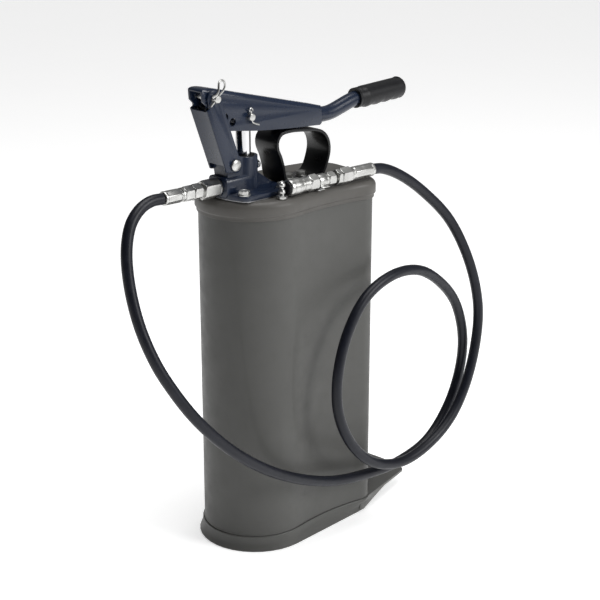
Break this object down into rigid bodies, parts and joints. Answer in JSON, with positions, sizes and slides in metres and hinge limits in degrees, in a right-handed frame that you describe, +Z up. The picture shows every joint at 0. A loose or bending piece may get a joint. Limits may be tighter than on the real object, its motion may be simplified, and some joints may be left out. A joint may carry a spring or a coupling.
{
  "type": "gear oil pump",
  "caption": "Hand-operated gear oil pump: kidney-shaped steel tank with a foot rest, lever-worked plunger pump on the lid, carry handle and a hose with a parked coupler.",
  "frame": {"origin": "on the floor under the middle of the tank, on the underside of the pressed base", "axes": "+Z up, +X towards the hand grip and the foot rest, -Y towards the hollow front of the tank"},
  "size_m": [0.6082, 0.2063, 0.6604],
  "materials": {
    "grey_paint": "semi-gloss paint over sheet steel",
    "lid_paint": "semi-gloss paint over sheet steel",
    "navy_paint": "gloss paint",
    "black_paint": "semi-gloss paint on strip steel",
    "zinc": "bright zinc plate",
    "polished_steel": "ground and polished",
    "plain_steel": "plain machined steel",
    "brass": "turned brass",
    "rubber": "moulded rubber, satin",
    "hose_rubber": "smooth hose cover, satin"
  },
  "bodies": {
    "tank": {"tank_shell": "grey_paint", "tank_bottom": "grey_paint", "base_pan": "grey_paint", "foot_rest_rivet_1": "grey_paint", "foot_rest_rivet_2": "grey_paint"},
    "head": {"lid": "lid_paint", "lid_gasket": "rubber", "pump_casting": "navy_paint", "casting_gasket": "plain_steel", "casting_bolt_1": "zinc", "casting_bolt_2": "zinc", "casting_bolt_3": "zinc", "casting_bolt_4": "zinc", "gland_ring": "rubber", "bleed_screw": "plain_steel", "cylinder_tube": "zinc", "foot_valve_body": "brass", "suction_tube": "zinc", "suction_strainer": "plain_steel", "outlet_spring": "polished_steel", "outlet_adapter": "zinc", "swivel_nut": "zinc", "hose_nut_left": "zinc", "hose_ferrule_left": "zinc", "coupler_seal": "rubber", "coupler_nose": "zinc", "coupler_body": "zinc", "coupler_stem": "zinc", "lock_nut": "zinc", "hose_nut_right": "zinc", "hose_ferrule_right": "zinc", "parking_clip": "zinc", "parking_clip_screw": "plain_steel", "parking_nipple": "zinc", "carry_handle": "black_paint", "carry_handle_bolt_1": "zinc", "carry_handle_bolt_2": "zinc", "delivery_hose": "hose_rubber"},
    "link": {"link_arm": "navy_paint", "link_pin": "zinc", "link_pin_clip": "plain_steel", "fulcrum_pin": "zinc", "fulcrum_r_clip": "zinc"},
    "lever": {"lever_channel": "navy_paint", "handle_tube": "navy_paint", "hand_grip": "rubber", "rod_pin": "zinc", "rod_pin_cotter": "zinc"},
    "rod": {"pump_rod": "polished_steel", "piston": "plain_steel", "piston_seal": "rubber", "piston_nut": "zinc"},
    "foot_valve": {"foot_ball": "polished_steel"},
    "outlet_valve": {"outlet_ball": "polished_steel"}
  },
  "joints": [
    {"name": "lid_lift", "type": "slide", "parent": "tank", "child": "head", "axis": [0, 0, 1], "range_m": [0, 0.48]},
    {"name": "link_hinge", "type": "hinge", "parent": "head", "child": "link", "pos_m": [-0.109, -0.008, 0.545], "axis": [0, -1, 0], "range_deg": [0, 5.2]},
    {"name": "lever_hinge", "type": "hinge", "parent": "link", "child": "lever", "pos_m": [-0.142, -0.008, 0.636], "axis": [0, -1, 0], "range_deg": [0, 40]},
    {"name": "rod_slide", "type": "slide", "parent": "head", "child": "rod", "axis": [0, 0, 1], "range_m": [0, 0.05]},
    {"name": "foot_ball_lift", "type": "slide", "parent": "head", "child": "foot_valve", "axis": [0, 0, 1], "range_m": [0, 0.0045]},
    {"name": "outlet_ball_lift", "type": "slide", "parent": "head", "child": "outlet_valve", "axis": [-1, 0, 0], "range_m": [0, 0.0035], "stiffness_N_per_m": 200, "springref_m": -0.002}
  ],
  "couplings": [
    {"joint": "link_hinge", "follows": "lever_hinge", "ratio": 0.1275},
    {"joint": "rod_slide", "follows": "lever_hinge", "m_per_rad": 0.0705}
  ]
}
